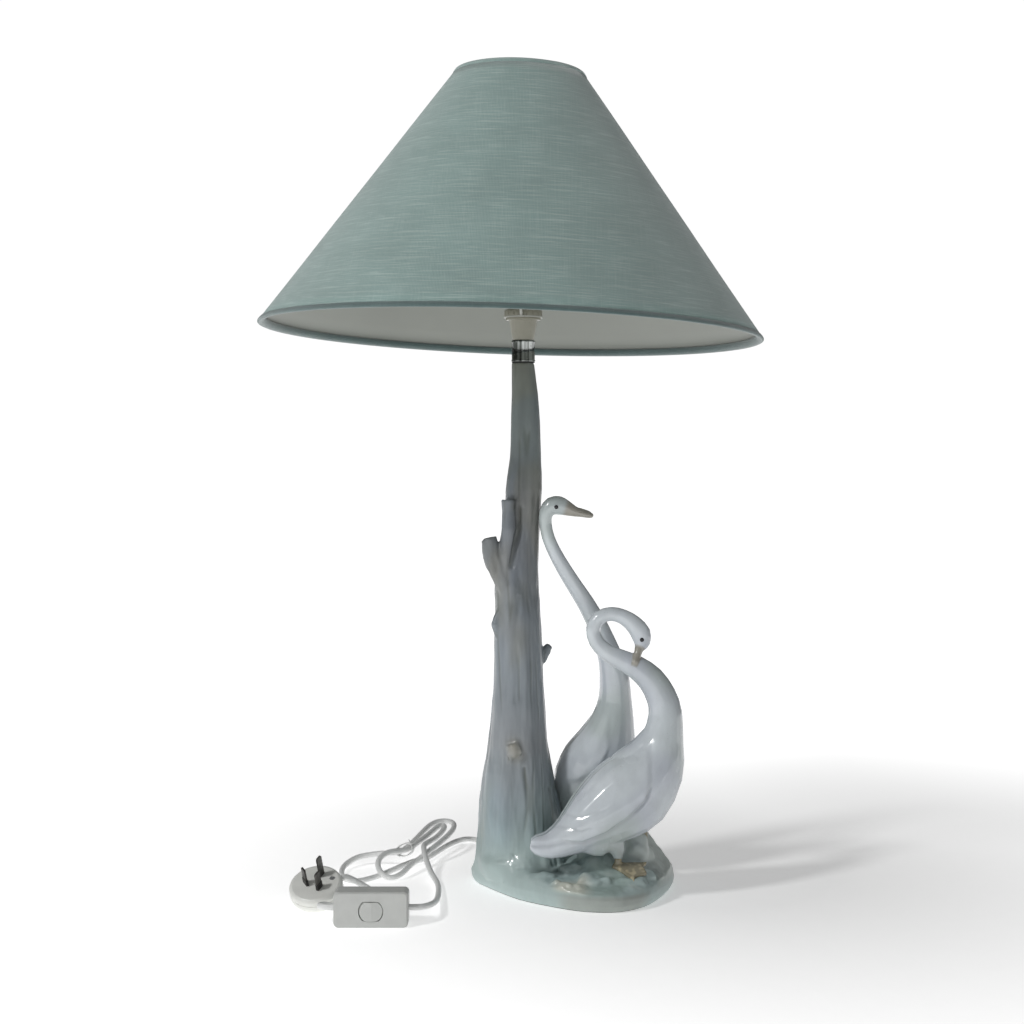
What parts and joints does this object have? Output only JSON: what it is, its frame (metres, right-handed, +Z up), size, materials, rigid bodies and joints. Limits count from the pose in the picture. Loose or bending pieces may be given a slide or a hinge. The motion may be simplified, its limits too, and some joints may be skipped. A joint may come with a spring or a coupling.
{
  "type": "figural table lamp",
  "caption": "Porcelain table lamp of a tree trunk beside a preening and an upright goose, with a hung cone shade, bayonet lampholder, flex, inline rocker switch and plug.",
  "frame": {"origin": "on the axis of the threaded tube, at the level of the felt's underside", "axes": "+Z up along the tube, +X to the geese's side, -Y towards the front, where the preening goose stands"},
  "size_m": [0.4473, 0.4475, 0.7306],
  "materials": {
    "trunk_glaze": "gloss",
    "ground_glaze": "gloss",
    "goose_glaze": "gloss",
    "leg_glaze": "gloss",
    "felt": "matt felt",
    "steel": "plain",
    "brass": "plain",
    "dark_pin": "dulled",
    "dark_rubber": "matt",
    "collar_chrome": "polished",
    "holder_cream": "moulded",
    "white_plastic": "moulded",
    "dark_plastic": "moulded",
    "steatite": "unglazed",
    "coated_wire": "white coat",
    "linen": "woven, with slubs",
    "trim_linen": "woven, folded",
    "white_lining": "satin sheet",
    "frosted_glass": "frosted",
    "clear_glass": "clear",
    "cord_white": "PVC sheath",
    "core_insulation": "PVC",
    "cap_metal": "satin"
  },
  "bodies": {
    "lamp": {"ground_base": "ground_glaze", "tree_trunk": "trunk_glaze", "tall_goose": "goose_glaze", "preening_goose": "goose_glaze", "rear_goose_legs": "leg_glaze", "front_goose_legs": "leg_glaze", "felt_pad": "felt", "stem_rod": "steel", "rod_washer": "steel", "rod_nut": "brass", "cord_grommet": "dark_rubber", "neck_gasket": "dark_rubber", "neck_collar": "collar_chrome", "holder_cap": "holder_cream", "holder_body": "holder_cream", "contact_block": "steatite", "holder_terminals": "brass", "terminal_screws": "steel", "core_wires": "core_insulation", "lamp_cord": "cord_white", "plug_cord": "cord_white", "cord_tie": "cord_white", "switch_base": "white_plastic", "switch_cover": "white_plastic", "rocker_pin": "steel", "switch_terminals": "brass", "switch_screws": "steel", "plug_cover": "white_plastic", "plug_base": "white_plastic", "plug_blades": "dark_pin", "earth_blade": "dark_pin", "pin_sleeves": "dark_plastic", "plug_screw": "steel"},
    "plungers": {"contact_plungers": "brass", "plunger_springs": "steel"},
    "retaining_ring": {"shade_ring": "holder_cream"},
    "carrier": {"carrier_base_ring": "coated_wire", "carrier_wires": "coated_wire", "carrier_seat": "white_plastic"},
    "shade": {"shade_fabric": "linen", "shade_lining": "white_lining", "shade_top_ring": "coated_wire", "shade_bottom_ring": "coated_wire", "shade_spider": "coated_wire", "shade_top_trim": "trim_linen", "shade_bottom_trim": "trim_linen"},
    "bulb": {"bulb_glass": "frosted_glass", "bulb_cap": "cap_metal", "bulb_contacts": "dark_plastic", "bulb_mount": "clear_glass", "bulb_filament": "steel"},
    "rocker": {"switch_rocker": "white_plastic", "rocker_tip": "brass"},
    "seesaw": {"contact_seesaw": "brass"}
  },
  "joints": [
    {"name": "rocker_tilt", "type": "hinge", "parent": "lamp", "child": "rocker", "pos_m": [-0.126, -0.125, 0.01355], "axis": [0, 0, -1], "range_deg": [0, 12]},
    {"name": "seesaw_tilt", "type": "hinge", "parent": "lamp", "child": "seesaw", "pos_m": [-0.126, -0.115, 0.01355], "axis": [0, 0, 1], "range_deg": [0, 12]},
    {"name": "plunger_press", "type": "slide", "parent": "lamp", "child": "plungers", "axis": [0, 0, 1], "range_m": [-0.0015, 0], "stiffness_N_per_m": 900, "deforming": ["plunger_springs"]},
    {"name": "bulb_twist", "type": "hinge", "parent": "lamp", "child": "bulb", "pos_m": [0, 0, 0.532], "axis": [0, 0, 1], "range_deg": [0, 15]},
    {"name": "ring_turn", "type": "hinge", "parent": "lamp", "child": "retaining_ring", "pos_m": [0, 0, 0.511], "axis": [0, 0, 1], "range_deg": [0, 720]},
    {"name": "carrier_turn", "type": "hinge", "parent": "lamp", "child": "carrier", "pos_m": [0, 0, 0.51], "axis": [0, 0, 1], "continuous": true},
    {"name": "shade_lift", "type": "slide", "parent": "carrier", "child": "shade", "axis": [0, 0, 1], "range_m": [0, 0.25]}
  ],
  "couplings": [
    {"joint": "seesaw_tilt", "follows": "rocker_tilt", "ratio": 1}
  ]
}
